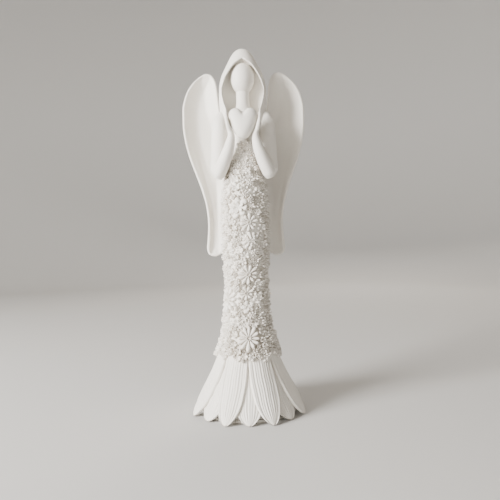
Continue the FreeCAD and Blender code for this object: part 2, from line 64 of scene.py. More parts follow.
def smooth_curve(knots):
    """Smooth curve through (x, y) knots that never overshoots them (monotone cubic)."""
    xs, ys = (np.array(v, float) for v in zip(*knots))
    gap = np.diff(xs)
    slope = np.diff(ys) / gap
    tangent = np.zeros(len(xs))
    tangent[0], tangent[-1] = slope[0], slope[-1]
    for i in range(1, len(xs) - 1):
        if slope[i - 1] * slope[i] > 0:
            tangent[i] = 2 / (1 / slope[i - 1] + 1 / slope[i])

    def value(x):
        x = np.clip(np.asarray(x, float), xs[0], xs[-1])
        i = np.clip(np.searchsorted(xs, x, side="right") - 1, 0, len(gap) - 1)
        t = (x - xs[i]) / gap[i]
        start = (1 + 2 * t) * (1 - t) ** 2 * ys[i] + t * (1 - t) ** 2 * gap[i] * tangent[i]
        end = t * t * (3 - 2 * t) * ys[i + 1] + t * t * (t - 1) * gap[i] * tangent[i + 1]
        return start + end

    return value


def ramp(x, low, high):
    """Smooth step from 0 at low to 1 at high."""
    t = np.clip((np.asarray(x, float) - low) / (high - low), 0, 1)
    return t * t * (3 - 2 * t)


def bump(x, centre, width):
    """Bell curve of height 1."""
    return np.exp(-(((np.asarray(x, float) - centre) / width) ** 2))


def grid_faces(rows, cols, closed=False, first=0, flip=False):
    """Quads of a rows x cols grid of points, closed round its columns if asked."""
    span = cols if closed else cols - 1
    r, c = np.meshgrid(np.arange(rows - 1), np.arange(span), indexing="ij")
    after = (c + 1) % cols
    quads = np.stack([r * cols + c, r * cols + after, (r + 1) * cols + after, (r + 1) * cols + c], -1)
    quads = quads.reshape(-1, 4) + first
    return [tuple(q) for q in (quads[:, ::-1] if flip else quads).tolist()]


def make_object(name, points, faces):
    """Smooth-shaded object in the scene, from points in millimetres."""
    mesh = bpy.data.meshes.new(name)
    mesh.from_pydata((np.asarray(points).reshape(-1, 3) * MM).tolist(), [], faces)
    mesh.validate()
    mesh.update()
    obj = bpy.data.objects.new(name, mesh)
    bpy.context.scene.collection.objects.link(obj)
    mesh.polygons.foreach_set("use_smooth", [True] * len(mesh.polygons))
    return obj


def apply_modifiers(obj):
    """Turns the modified shape into the object's own mesh."""
    graph = bpy.context.evaluated_depsgraph_get()
    graph.update()
    mesh = bpy.data.meshes.new_from_object(obj.evaluated_get(graph))
    old = obj.data
    obj.modifiers.clear()
    obj.data = mesh
    mesh.name = obj.name
    bpy.data.meshes.remove(old)
    mesh.polygons.foreach_set("use_smooth", [True] * len(mesh.polygons))


def finish_piece(obj, material, *nodes):
    """Gives a piece its finish, hangs it under the root body and hides the CAD nodes it stands in for."""
    obj.data.materials.clear()
    obj.data.materials.append(material)
    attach(obj, "root")
    if nodes:
        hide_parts(*nodes)
    return obj


def slab(front, back):
    """Closed sheet between two equal grids of points, stitched along their four borders."""
    rows, cols = front.shape[:2]
    points = np.concatenate([front.reshape(-1, 3), back.reshape(-1, 3)])
    second = rows * cols
    faces = grid_faces(rows, cols) + grid_faces(rows, cols, first=second, flip=True)
    border = [(0, c) for c in range(cols)] + [(r, cols - 1) for r in range(1, rows)]
    border += [(rows - 1, c) for c in range(cols - 2, -1, -1)]
    border += [(r, 0) for r in range(rows - 2, 0, -1)]
    loop = [r * cols + c for r, c in border]
    for a, b in zip(loop, loop[1:] + loop[:1]):
        faces.append((b, a, a + second, b + second))
    return points, faces


def tube(centres, half_sizes, around=28):
    """Closed tube through centres with elliptical sections: (across, deep) half sizes."""
    centres, half_sizes = np.array(centres, float), np.array(half_sizes, float)
    turn = np.linspace(0, 2 * math.pi, around, endpoint=False)
    along = np.gradient(centres, axis=0)
    along /= np.linalg.norm(along, axis=1, keepdims=True)
    across = np.cross(along, np.array([0, -1, 0]))
    across /= np.linalg.norm(across, axis=1, keepdims=True)
    deep = np.cross(along, across)
    rings = (
        centres[:, None]
        + across[:, None] * (half_sizes[:, :1] * np.cos(turn))[..., None]
        + deep[:, None] * (half_sizes[:, 1:] * np.sin(turn))[..., None]
    )
    points = rings.reshape(-1, 3)
    faces = grid_faces(len(centres), around, closed=True)
    faces.append(tuple(range(around))[::-1])
    faces.append(tuple(range(len(points) - around, len(points))))
    return points, faces


def along_curve(knots, count):
    """Points on a smooth curve through knots, whose columns all follow the same length."""
    knots = np.array(knots, float)
    steps = np.linalg.norm(np.diff(knots[:, :3], axis=0), axis=1)
    at = np.concatenate([[0], np.cumsum(steps)])
    t = np.linspace(0, at[-1], count)
    return np.stack([smooth_curve(list(zip(at, column)))(t) for column in knots.T], -1)


def merge(parts):
    """One mesh's points and faces from several."""
    points, faces, first = [], [], 0
    for part_points, part_faces in parts:
        part_points = np.asarray(part_points).reshape(-1, 3)
        points.append(part_points)
        faces += [tuple(i + first for i in face) for face in part_faces]
        first += len(part_points)
    return np.concatenate(points), faces


def fuse(obj, voxel, smoothing):
    """Joins overlapping closed shapes into one skin, with the soft corners of a casting."""
    remesh = obj.modifiers.new("fuse", "REMESH")
    remesh.mode = "VOXEL"
    remesh.voxel_size = voxel * MM
    soften = obj.modifiers.new("soften", "SMOOTH")
    soften.factor = 0.5
    soften.iterations = smoothing
    apply_modifiers(obj)


# ---------------------------------------------------------------- resin


# Colours of the resin: two close whites that it drifts between, and the brown laid into its hollows, which is
# dust together with painted shade
WHITE_LOW = (0.800, 0.770, 0.715, 1)
WHITE_HIGH = (0.850, 0.825, 0.775, 1)
DUST_AND_SHADE = (0.46, 0.405, 0.335, 1)


def resin(name, cavity_shade=0.55, cavity_shade_reach=0.0022, grain=0.10, pits=0.06):
    """Unpainted cast resin: warm white, chalky, a little translucent, with its hollows darkened by dust and by
    painted shade.
    """
    material = bpy.data.materials.new(name)
    material.use_nodes = True
    tree = material.node_tree
    nodes, links = tree.nodes, tree.links
    shader = nodes["Principled BSDF"]
    shader.inputs["Subsurface Weight"].default_value = 0.08
    shader.inputs["Subsurface Radius"].default_value = (1.0, 0.92, 0.84)
    shader.inputs["Subsurface Scale"].default_value = 0.0008
    shader.inputs["IOR"].default_value = 1.5
    shader.inputs["Specular IOR Level"].default_value = 0.35

    def node(kind, **settings):
        made = nodes.new(kind)
        for key, value in settings.items():
            setattr(made, key, value)
        return made

    where = node("ShaderNodeTexCoord")

    def noise(scale, detail=3.0, roughness=0.5):
        made = node("ShaderNodeTexNoise")
        made.inputs["Scale"].default_value = scale
        made.inputs["Detail"].default_value = detail
        made.inputs["Roughness"].default_value = roughness
        links.new(where.outputs["Object"], made.inputs["Vector"])
        return made

    def mix(factor, low, high):
        made = node("ShaderNodeMix", data_type="RGBA")
        links.new(factor, made.inputs["Factor"])
        for value, socket in ((low, made.inputs[6]), (high, made.inputs[7])):
            if isinstance(value, tuple):
                socket.default_value = value
            else:
                links.new(value, socket)
        return made.outputs[2]

    def remap(value, low, high, out_low=0.0, out_high=1.0):
        made = node("ShaderNodeMapRange")
        links.new(value, made.inputs["Value"])
        made.inputs["From Min"].default_value = low
        made.inputs["From Max"].default_value = high
        made.inputs["To Min"].default_value = out_low
        made.inputs["To Max"].default_value = out_high
        return made.outputs["Result"]

    clouds = noise(38.0, detail=4.0)
    tone = remap(clouds.outputs["Fac"], 0.35, 0.65)
    body = mix(tone, WHITE_LOW, WHITE_HIGH)
    # Painted shade: ambient occlusion darkens the base colour in hollows and crevices towards the
    # dust-and-shade brown.
    hollow = node("ShaderNodeAmbientOcclusion")
    hollow.samples = 6
    hollow.inputs["Distance"].default_value = cavity_shade_reach
    depth = remap(hollow.outputs["AO"], 0.25, 0.95, cavity_shade, 0.0)
    links.new(mix(depth, body, DUST_AND_SHADE), shader.inputs["Base Color"])

    chalk = noise(900.0, detail=2.0)
    links.new(remap(chalk.outputs["Fac"], 0.3, 0.7, 0.50, 0.68), shader.inputs["Roughness"])

    coarse = noise(260.0, detail=3.0)
    fine = noise(2600.0, detail=2.0, roughness=0.6)
    relief = node("ShaderNodeMath", operation="MULTIPLY_ADD")
    links.new(coarse.outputs["Fac"], relief.inputs[0])
    relief.inputs[1].default_value = 2.2
    links.new(fine.outputs["Fac"], relief.inputs[2])
    surface = node("ShaderNodeBump")
    surface.inputs["Strength"].default_value = grain
    surface.inputs["Distance"].default_value = 0.00012
    links.new(relief.outputs[0], surface.inputs["Height"])

    pores = node("ShaderNodeTexVoronoi", feature="F1")
    pores.inputs["Scale"].default_value = 420.0
    links.new(where.outputs["Object"], pores.inputs["Vector"])
    pinhole = node("ShaderNodeBump")
    pinhole.inputs["Strength"].default_value = pits
    pinhole.inputs["Distance"].default_value = 0.0001
    links.new(remap(pores.outputs["Distance"], 0.0, 0.12), pinhole.inputs["Height"])
    links.new(surface.outputs["Normal"], pinhole.inputs["Normal"])
    links.new(pinhole.outputs["Normal"], shader.inputs["Normal"])
    return material


# Each finish sets how strongly and how far its hollows are darkened with painted shade and dust.
smooth_resin = resin("resin_smooth", cavity_shade=0.40)
flower_resin = resin("resin_flowers", cavity_shade=0.80, cavity_shade_reach=0.0016, grain=0.08)
petal_resin = resin("resin_petals", cavity_shade=0.60, cavity_shade_reach=0.0018)

# ---------------------------------------------------------------- dress and bodice

# Sections of the body under the flowers and of the neck: (height, half width, half depth)
BODY = [
    (1.9, 25.2, 25.2),
    (10.0, 21.4, 21.4),
    (20.0, 16.4, 16.4),
    (30.0, 14.4, 14.4),
    (34.5, 14.9, 14.9),
    (40.0, 14.0, 14.0),
    (46.0, 12.5, 12.5),
    (56.0, 11.3, 11.3),
    (68.0, 10.9, 10.9),
    (88.0, 11.7, 11.7),
    (104.0, 12.35, 12.35),
    (116.0, 11.9, 11.9),
    (124.0, 11.0, 10.9),
    (132.0, 9.7, 9.4),
    (140.0, 8.9, 8.6),
    (150.0, 8.7, 8.1),
    (156.0, 9.2, 7.6),
    (160.0, 9.4, 6.9),
    (163.0, 8.0, 5.9),
    (165.5, 5.2, 4.7),
    (168.0, 3.95, 3.9),
    (171.0, 3.65, 3.6),
    (177.0, 3.6, 3.55),
]
body_width = smooth_curve([(z, w) for z, w, d in BODY])
body_depth = smooth_curve([(z, d) for z, w, d in BODY])
neck_forward = smooth_curve([(160.0, 0.0), (168.0, -0.3), (177.0, -0.9)])

# The flowers also lap over the tops of the petals, which flare out faster than the body.
FLOWER_BED = [(24.0, 20.2), (28.0, 18.5), (32.0, 17.0), (36.0, 15.8), (40.0, 14.6), (46.0, 12.8)]
lower_bed = smooth_curve(FLOWER_BED)


def bed_point(angle, height):
    """Point of the surface that flowers sit on, and its outward direction. Angle in radians,
    0 at the front and rising towards the figure's left."""
    def place(angle, height):
        low = height < FLOWER_BED[-1][0]
        width = np.where(low, lower_bed(height), body_width(height))
        depth = np.where(low, lower_bed(height), body_depth(height))
        return np.stack([width * np.sin(angle), -depth * np.cos(angle), height], -1)

    point = place(angle, height)
    around = place(angle + 0.02, height) - place(angle - 0.02, height)
    up = place(angle, height + 0.4) - place(angle, height - 0.4)
    outward = np.cross(around, up)
    return point, outward / np.linalg.norm(outward, axis=-1, keepdims=True)


def body():
    """Core of the dress, the bodice and the neck in one skin."""
    foot, top = BODY[0][0], BODY[-1][0]
    heights = np.concatenate([np.linspace(foot, 120, 150), np.linspace(120.6, top, 110)])
    turn = np.linspace(-math.pi, math.pi, 120, endpoint=False)
    z, a = np.meshgrid(heights, turn, indexing="ij")
    width, depth = body_width(z), body_depth(z)
    fullness, bust_height, bust_side = 0.55, 149, 0.55
    sides = bump(a, bust_side, 0.32) + bump(a, -bust_side, 0.32)
    bust = fullness * bump(z, bust_height, 6) * sides
    x = width * np.sin(a)
    y = -(depth + bust) * np.cos(a) + neck_forward(z)
    points = np.stack([x, y, z], -1)
    faces = grid_faces(len(heights), len(turn), closed=True)
    faces.append(tuple(range(len(turn)))[::-1])
    faces.append(tuple(range(points[..., 0].size - len(turn), points[..., 0].size)))
    obj = make_object("dress_and_bodice", points, faces)
    return finish_piece(obj, smooth_resin, "dress_core", "bodice", "neck")


# ---------------------------------------------------------------- hem petals

hem_radius = smooth_curve([(0.0, 32.2), (4.0, 30.2), (9.5, 27.3), (16.0, 23.7), (22.8, 20.2),
                           (29.5, 17.5), (36.0, 15.6), (40.0, 14.6)])

# Half width of a hem petal along its length, from under the flowers to the tip, as shares
petal_spread = smooth_curve([(0.0, 0.84), (0.25, 0.93), (0.5, 1.0), (0.68, 0.98), (0.80, 0.86), (0.88, 0.68),
                             (0.94, 0.46), (0.98, 0.24), (1.0, 0.04)])

# The two layers of petals: (half width, how far in from the outer layer, height of the top)
PETAL_LAYERS = {"outer": (7.7, 0.0, 37.0), "inner": (8.6, 1.5, 32.0)}
PETAL_VEINS = 11
PETAL_THICKNESS = 1.7
PETAL_TIP_HEIGHT = 0.35


def hem_petal(name, turn, half_width, inset, top, rng):
    """One petal: a flared leaf with fine veins, raised rolled edges and a rounded, lifted tip.
    s runs from 0 at its top to 1 at its tip, and u from -1 to 1 across it."""
    rows, cols = 70, 131
    tip_crowding, edge_crowding = 1.3, 0.86
    s = 1 - (1 - np.linspace(0, 1, rows)) ** tip_crowding
    u = np.sin(np.linspace(-1, 1, cols) * math.pi / 2 * edge_crowding) / math.sin(math.pi / 2 * edge_crowding)
    s, u = np.meshgrid(s, u, indexing="ij")
    sway = rng.uniform(-0.5, 0.5)
    across = half_width * petal_spread(s) * u + sway * np.sin(s * 3.0)
    z = top + (PETAL_TIP_HEIGHT - top) * s
    edge = np.abs(u)
    grown = ramp(s, 0.04, 0.32)

    crown_height, roll_height, roll_place, flare_height = 0.9, 0.75, 0.87, 0.5
    crown = crown_height * (np.cos(u * math.pi / 2) - 0.45) * grown
    roll = roll_height * bump(edge, roll_place, 0.11) * grown
    flare = flare_height * ramp(s, 0.8, 1.0)

    vein_height, vein_end, vein_side = 0.34, 0.975, 0.84
    wander = 0.5 * np.sin(s * 8.0 + turn * 3 + u) + 0.35 * np.sin(s * 19.0 + turn + 2 * u)
    phase = math.pi * PETAL_VEINS * (u * (0.75 + 0.25 * petal_spread(s)) + 1) / 2 + 0.6 * wander
    depth = vein_height * (0.75 + 0.25 * np.sin(u * 23.0 + turn))
    inside = ramp(vein_side - edge, 0.0, 0.12)
    vein = depth * np.abs(np.sin(phase)) ** 0.8 * inside * ramp(vein_end - s, 0.0, 0.12)

    base = hem_radius(z) - inset
    half_thick = PETAL_THICKNESS / 2
    rounding = half_thick * (1 - np.sqrt(np.clip(1 - edge ** 14, 0, 1)))
    rounding += half_thick * (1 - np.sqrt(np.clip(1 - s ** 90, 0, 1))) * (edge < 1)
    middle = base + crown + roll + flare - 0.5
    radius = middle + vein * (0.4 + 0.6 * grown) - rounding
    inner = middle - PETAL_THICKNESS + np.minimum(rounding, half_thick)
    angle = across / np.maximum(base, 5.0)
    front = np.stack([radius * np.sin(angle), -radius * np.cos(angle), z], -1)
    back = np.stack([inner * np.sin(angle), -inner * np.cos(angle), z], -1)
    points, faces = slab(front, back)
    c, d = math.cos(turn), math.sin(turn)
    points = points @ np.array([[c, d, 0], [-d, c, 0], [0, 0, 1]])
    return make_object(name, points, faces)


def hem(rng):
    """Both layers of petals, with the outer ones half a step round from the inner."""
    step = 2 * math.pi / HEM_PETALS
    for i in range(HEM_PETALS):
        for layer, shift in (("outer", 0.5), ("inner", 0.0)):
            piece = hem_petal(f"petal_{layer}_{i + 1}", (i + shift) * step, *PETAL_LAYERS[layer], rng)
            finish_piece(piece, petal_resin, f"{layer}_petal_{i + 1}")


# ---------------------------------------------------------------- flowers


def layered_cap(radius, height, layers, rings, around, spin, ragged=0.05):
    """Height field of one flower as (x, y, h) points, in rings from the centre out. Each layer is
    (share of radius, petals, phase, height share, hollow, notch), where 0 petals is a round dome."""
    rho = np.linspace(0.0, 1.0, rings)
    theta = np.linspace(0, 2 * math.pi, around, endpoint=False)
    r, t = np.meshgrid(rho, theta, indexing="ij")
    outline = np.ones_like(t)
    _, petals, phase, _, _, notch = layers[0]
    if petals:
        outline = 1 - notch * (1 - np.abs(np.cos((t - phase) * petals / 2)) ** 0.6)
    outline *= 1 + ragged * (np.sin(2 * t + spin) + 0.8 * np.sin(5 * t + 2 * spin))
    h = np.zeros_like(r)
    for i, (share, petals, phase, level, hollow, notch) in enumerate(layers):
        lobe = np.abs(np.cos((t - phase) * petals / 2)) if petals else np.ones_like(t)
        reach = share * (1 - (notch if i and petals else 0) * (1 - lobe ** 0.6))
        inside = r / np.maximum(reach, 1e-3)
        cup = hollow + (1 - hollow) * np.clip(inside, 0, 1) ** 1.4
        ridge = 1 - (0.80 * (1 - lobe ** 0.8) * ramp(inside, 0.10, 0.45) if petals else 0)
        edge = 1 - ramp(inside, 0.80, 1.04)
        h = np.maximum(h, level * cup * ridge * edge)
    x = radius * outline * r * np.cos(t + spin)
    y = radius * outline * r * np.sin(t + spin)
    return np.stack([x, y, height * h], -1)


def seat_cap(cap, angle, height, lean, sink):
    """Lays a flower's height field on the flower bed, wrapped round it, with a skirt below."""
    skirt_spread, skirt_level, least_radius = 1.02, -1.2, 6.0
    x, y, h = cap[..., 0], cap[..., 1], cap[..., 2]
    x = np.concatenate([x, x[-1:] * skirt_spread])
    y = np.concatenate([y, y[-1:] * skirt_spread])
    h = np.concatenate([h, np.full((1, h.shape[1]), skirt_level)])
    h = h + lean[0] * x + lean[1] * y - sink
    local, _ = bed_point(np.array(angle), np.array(height))
    bed_radius = max(float(np.hypot(local[0], local[1])), least_radius)
    point, outward = bed_point(angle + x / bed_radius, height + y)
    return point + outward * h[..., None]


def cap_mesh(points):
    """Points and faces of one seated flower."""
    rows, cols = points.shape[:2]
    return points.reshape(-1, 3), grid_faces(rows, cols, closed=True)


# Main flowers: CAD node -> (degrees round, height, radius, relief, layers)
MAIN_FLOWERS = {
    "daisy_hem": (2.0, 41.2, 6.3, 2.3, [(1.0, 12, 0.0, 0.95, 0.50, 0.46), (0.24, 0, 0.0, 0.9, 0.4, 0.0)]),
    "daisy_side": (-62.0, 61.1, 7.4, 2.4, [(1.0, 12, 0.0, 0.85, 0.45, 0.42), (0.66, 10, 0.3, 1.0, 0.35, 0.34),
                                         (0.20, 0, 0.0, 0.95, 0.5, 0.0)]),
    "daisy_middle": (5.0, 75.0, 5.4, 2.2, [(1.0, 11, 0.2, 0.95, 0.45, 0.44), (0.24, 0, 0.0, 0.9, 0.5, 0.0)]),
    "daisy_upper": (9.0, 102.7, 4.9, 1.9, [(1.0, 10, 0.0, 0.95, 0.40, 0.42), (0.24, 0, 0.0, 0.85, 0.5, 0.0)]),
    "fan_blossom": (-16.0, 110.6, 5.6, 2.4, [(1.0, 7, 0.4, 0.85, 0.25, 0.30), (0.6, 5, 0.1, 1.0, 0.2, 0.28)]),
    "dahlia": (13.0, 93.0, 4.8, 2.2, [(1.0, 11, 0.0, 0.60, 0.6, 0.24), (0.74, 8, 0.3, 0.80, 0.6, 0.24),
                                      (0.48, 6, 0.0, 0.95, 0.5, 0.22), (0.24, 4, 0.2, 1.05, 0.3, 0.1)]),
    "daisy_small": (-1.0, 64.9, 3.8, 2.0, [(1.0, 9, 0.0, 0.95, 0.35, 0.38), (0.26, 0, 0.0, 0.9, 0.4, 0.0)]),
    "rose_cup": (31.0, 62.5, 3.2, 2.3, [(1.0, 5, 0.0, 0.75, 0.6, 0.18), (0.68, 5, 0.6, 1.0, 0.10, 0.14)]),
    "rose_small": (2.3, 57.7, 3.4, 2.3, [(1.0, 5, 0.3, 0.65, 0.6, 0.18), (0.72, 4, 0.0, 0.85, 0.5, 0.18),
                                         (0.42, 3, 0.5, 1.05, 0.15, 0.1)]),
}

# Layers of each kind of small blossom
BLOSSOM_KINDS = [
    [(1.0, 5, 0.0, 1.0, 0.10, 0.28)],
    [(1.0, 5, 0.0, 0.95, 0.20, 0.26), (0.24, 0, 0.0, 0.8, 0.5, 0.0)],
    [(1.0, 6, 0.0, 0.95, 0.12, 0.24)],
    [(1.0, 5, 0.0, 0.75, 0.6, 0.16), (0.6, 5, 0.6, 1.0, 0.25, 0.15)],
    [(1.0, 7, 0.0, 0.85, 0.5, 0.18), (0.34, 0, 0.0, 1.0, 0.5, 0.0)],
]
# Blossoms are sown in turns, the largest first: (tries, spacing, (least radius, greatest radius))
SOWINGS = [(9000, 0.80, (1.8, 2.45)), (9000, 0.82, (1.25, 1.7)), (12000, 0.85, (0.75, 1.05))]

# Lowest and highest place that a blossom is tried, where the flowers stop going all round, and
# the width of the spray that runs on up between the forearms
SOWN_HEIGHTS = (25.0, 150.0)
RING_TOP = 123.0
SPRAY_TOP = 149.5
SPRAY_SIDE = 1.4
spray_half_width = smooth_curve([(123.0, 12.2), (130.0, 9.6), (134.6, 7.8), (139.4, 6.0), (144.3, 3.4),
                                 (148.5, 0.9)])


def main_flowers(rng):
    """The large flowers, each in its own place."""
    for name, (degrees, height, radius, relief, layers) in MAIN_FLOWERS.items():
        cap = layered_cap(radius, relief, layers, 26, 144, rng.uniform(0, 1), ragged=0.10)
        lean = (rng.uniform(-0.08, 0.08), rng.uniform(-0.08, 0.08))
        points = seat_cap(cap, math.radians(degrees), height, lean, -0.25)
        obj = make_object(f"flower_{name}", *cap_mesh(points))
        finish_piece(obj, flower_resin, name)


def in_flower_area(angle, height):
    """Flowers cover the dress all round, with a ragged lower edge that dips at the front, and
    run up between the forearms to a point."""
    lower = 32.0 - 1.6 * bump(angle, 0.0, 0.6) + 0.9 * math.sin(angle * 9.0)
    if height < lower:
        return False
    if height <= RING_TOP:
        return True
    if abs(angle) > SPRAY_SIDE or height > SPRAY_TOP:
        return False
    side = float(body_width(height)) * math.sin(angle)
    spray_middle = 0.9 * float(ramp(height, RING_TOP, RING_TOP + 10))
    return abs(side - spray_middle) < float(spray_half_width(height))


def scatter(rng, tries, spacing, taken, radius_range):
    """Places blossoms by dart throwing, each clear of those placed before it."""
    placed = []
    most_reach = 9.5
    for _ in range(tries):
        angle, height = rng.uniform(-math.pi, math.pi), rng.uniform(*SOWN_HEIGHTS)
        radius = rng.uniform(*radius_range)
        if not in_flower_area(angle, height):
            continue
        point, _ = bed_point(np.array(angle), np.array(height))
        x, y, z = point.tolist()
        near = (t for t in taken if abs(t[2] - z) < most_reach)
        if all((t[0] - x) ** 2 + (t[1] - y) ** 2 + (t[2] - z) ** 2 > (t[3] + radius * spacing) ** 2
               for t in near):
            taken.append((x, y, z, radius * spacing))
            placed.append((angle, height, radius))
    return placed


def blossoms(rng):
    """Hundreds of small blossoms crowded over the dress, then buds in the gaps."""
    taken = []
    for degrees, height, radius, _, _ in MAIN_FLOWERS.values():
        point, _ = bed_point(np.array(math.radians(degrees)), np.array(height))
        taken.append((*point.tolist(), radius * 0.93))
    placed = []
    for tries, spacing, radius_range in SOWINGS:
        placed += scatter(rng, tries, spacing, taken, radius_range)
    low, high = 25.0, 124.0
    bud_radius, most_lean = 1.2, 0.34
    bands = [[] for _ in range(BLOSSOM_BANDS)]
    for angle, height, radius in placed:
        kind = rng.choice(BLOSSOM_KINDS)
        is_bud = radius < bud_radius
        rings, around = (6, 20) if is_bud else (9, 30)
        relief = rng.uniform(1.9, 2.9) * (0.9 if is_bud else 1.0)
        cap = layered_cap(radius, relief, kind, rings, around, rng.uniform(0, 2 * math.pi))
        lean = (rng.uniform(-most_lean, most_lean), rng.uniform(-most_lean, most_lean))
        points = seat_cap(cap, angle, height, lean, rng.uniform(-0.35, 0.55))
        number = int((height - low) / (high - low) * (BLOSSOM_BANDS - 1))
        bands[min(number, BLOSSOM_BANDS - 1)].append(cap_mesh(points))
    for number, band in enumerate(bands):
        obj = make_object(f"blossoms_{number + 1}", *merge(band))
        finish_piece(obj, flower_resin, f"blossom_band_{number + 1}")


# ---------------------------------------------------------------- head and heart


def head():
    """Smooth egg with a slightly narrower chin, no features."""
    egg_height, chin_taper, chin_setback = 18.0, 0.13, 0.35
    low, high = box_mm("head")
    centre = (low + high) / 2
    top, foot = high[2], high[2] - egg_height
    rows, cols = 72, 96
    lat = np.linspace(0.0, math.pi, rows)
    turn = np.linspace(0, 2 * math.pi, cols, endpoint=False)
    v, a = np.meshgrid(lat, turn, indexing="ij")
    taper = 1 - chin_taper * ramp(v, 0.45 * math.pi, math.pi)
    half_width, half_depth = (high[0] - low[0]) / 2, (high[1] - low[1]) / 2
    x = half_width * taper * np.sin(v) * np.cos(a)
    y = centre[1] + half_depth * taper * np.sin(v) * np.sin(a)
    y = y - chin_setback * ramp(v, 0.5 * math.pi, math.pi)
    z = (top + foot) / 2 + (top - foot) / 2 * np.cos(v)
    obj = make_object("head_egg", np.stack([x, y, z], -1), grid_faces(rows, cols, closed=True, flip=True))
    return finish_piece(obj, smooth_resin, "head")


# Outline of the heart's left half, from the cleft round to the tip: (degrees, radius)
HEART = [(0, 6.0), (10, 7.1), (24, 9.0), (41, 9.6), (57, 9.1), (75, 7.8), (90, 7.0), (115, 6.5), (140, 6.8),
         (163, 7.8), (180, 8.3)]


def heart():
    """Puffy heart: round lobes either side of a short cleft, drawn down to a soft tip."""
    low, high = box_mm("heart")
    centre = (low + high) / 2
    puff, crease_depth, crease_width = 0.3, 0.7, 1.6
    half_depth = (high[1] - low[1]) / 2 + puff
    rings, cols = 40, 180
    turn = np.linspace(-180, 180, cols, endpoint=False)
    reach = smooth_curve(HEART)(np.abs(turn))
    share = np.sin(np.linspace(0, math.pi / 2, rings))
    r, a = np.meshgrid(share, np.radians(turn), indexing="ij")
    x, z = reach * r * np.sin(a), reach * r * np.cos(a)
    thick = half_depth * np.sqrt(np.clip(1 - r ** 2.5, 0, 1))
    crease = crease_depth * bump(x, 0.0, crease_width) * ramp(z, 3.0, 6.5)
    thick = np.clip(thick - crease, 0, None)
    front = np.stack([centre[0] + x, centre[1] - thick, centre[2] + z], -1)
    back = np.stack([centre[0] + x, centre[1] + thick, centre[2] + z], -1)[:-1]
    points = np.concatenate([front, back[::-1]]).reshape(-1, 3)
    faces = grid_faces(2 * rings - 1, cols, closed=True)
    obj = make_object("heart_cushion", points, faces)
    fuse(obj, voxel=0.22, smoothing=34)
    return finish_piece(obj, smooth_resin, "heart")


# ---------------------------------------------------------------- arms

# Centre lines of the left arm: (side, setback, height, half across, half deep)
UPPER_ARM = [
    (8.6, 0.2, 163.9, 1.9, 2.2),
    (11.6, -0.4, 162.0, 3.5, 3.6),
    (12.8, -1.2, 157.6, 4.5, 4.4),
    (13.2, -2.4, 149.0, 4.6, 4.5),
    (13.7, -4.0, 139.0, 4.5, 4.4),
    (14.1, -5.6, 131.8, 4.2, 4.2),
    (14.2, -6.4, 127.9, 2.2, 2.4),
]
FOREARM = [
    (14.2, -7.0, 127.2, 2.2, 2.2),
    (13.3, -8.0, 129.8, 3.4, 3.7),
    (11.4, -9.8, 134.0, 3.6, 3.8),
    (9.0, -11.8, 139.4, 3.2, 3.5),
    (7.2, -13.2, 144.6, 2.6, 3.0),
    (6.5, -14.0, 148.6, 1.9, 2.5),
    (6.9, -14.3, 151.2, 1.4, 2.2),
]
PALM = [
    (6.6, -14.3, 149.4, 1.5, 2.2),
    (7.5, -14.2, 152.6, 1.3, 2.6),
    (8.3, -14.0, 155.6, 1.15, 2.6),
    (8.7, -13.9, 157.8, 0.95, 2.4),
]
FINGER_ROOT = (8.65, -13.9, 157.0)
FINGER_SPREAD = (-1.75, -0.6, 0.55, 1.65)
FINGER_LENGTH = (3.2, 4.2, 4.0, 3.0)
# Half sizes of a finger at its root, its middle, just before its end and at its end
FINGER_SECTIONS = [(0.90, 0.78), (0.80, 0.72), (0.62, 0.56), (0.35, 0.35)]
THUMB = [
    (7.3, -15.8, 151.4, 1.2, 1.1),
    (8.0, -16.9, 153.8, 1.05, 0.95),
    (8.5, -17.4, 156.0, 0.9, 0.85),
    (8.7, -17.5, 157.6, 0.45, 0.45),
]


def mirrored(points, side):
    """The left side's points, or with side -1 the right side's."""
    return points * np.array([side, 1, 1])


def arm(name, side):
    """Sleeve, forearm and hand of one side; the hands lie flat against the heart."""
    parts = []
    for knots, count in ((UPPER_ARM, 44), (FOREARM, 34), (PALM, 16)):
        line = along_curve(knots, count)
        parts.append(tube(line[:, :3], line[:, 3:]))
    for offset, length in zip(FINGER_SPREAD, FINGER_LENGTH):
        root = np.array(FINGER_ROOT) + np.array([0, offset, 0])
        tip = root + np.array([0.25, 0.1 * offset, length])
        joints = (root, (root + tip) / 2, tip - [0, 0, 0.5], tip)
        line = along_curve([(*at, *half) for at, half in zip(joints, FINGER_SECTIONS)], 12)
        parts.append(tube(line[:, :3], line[:, 3:], around=14))
    thumb = along_curve(THUMB, 12)
    parts.append(tube(thumb[:, :3], thumb[:, 3:], around=14))
    points, faces = merge(parts)
    if side < 0:
        faces = [face[::-1] for face in faces]
    obj = make_object(f"arm_{name}", mirrored(points, side), faces)
    fuse(obj, voxel=0.2, smoothing=6)
    return finish_piece(obj, smooth_resin, f"upper_arm_{name}", f"forearm_{name}", f"hand_{name}")


# ---------------------------------------------------------------- veil

# Outside of the veil: (height, half width, half depth, centre's setback)
VEIL = [
    (136.0, 12.0, 8.2, 1.6),
    (150.0, 12.2, 8.3, 1.3),
    (158.0, 12.4, 8.8, 1.0),
    (165.0, 12.9, 9.6, 0.6),
    (172.0, 13.3, 10.0, 0.4),
    (178.0, 13.1, 9.9, 0.3),
    (184.0, 11.9, 9.2, 0.1),
    (190.0, 9.1, 7.6, 0.0),
    (194.0, 7.1, 6.0, 0.0),
    (197.0, 5.2, 4.4, 0.0),
    (199.0, 3.1, 2.6, 0.0),
    (200.0, 0.6, 0.5, 0.0),
]
# Opening of the hood: (height, half width)
MOUTH = [(150.0, 9.5), (160.0, 8.6), (164.0, 8.9), (170.0, 10.6), (175.5, 11.5), (181.0, 10.1), (186.0, 7.2),
         (190.0, 4.0), (192.6, 0.05)]
VEIL_WALL = 1.35
HOLLOW_TOP = 189.5
HOLLOW_SHARE = 0.32
CUT_REACH = 30.0


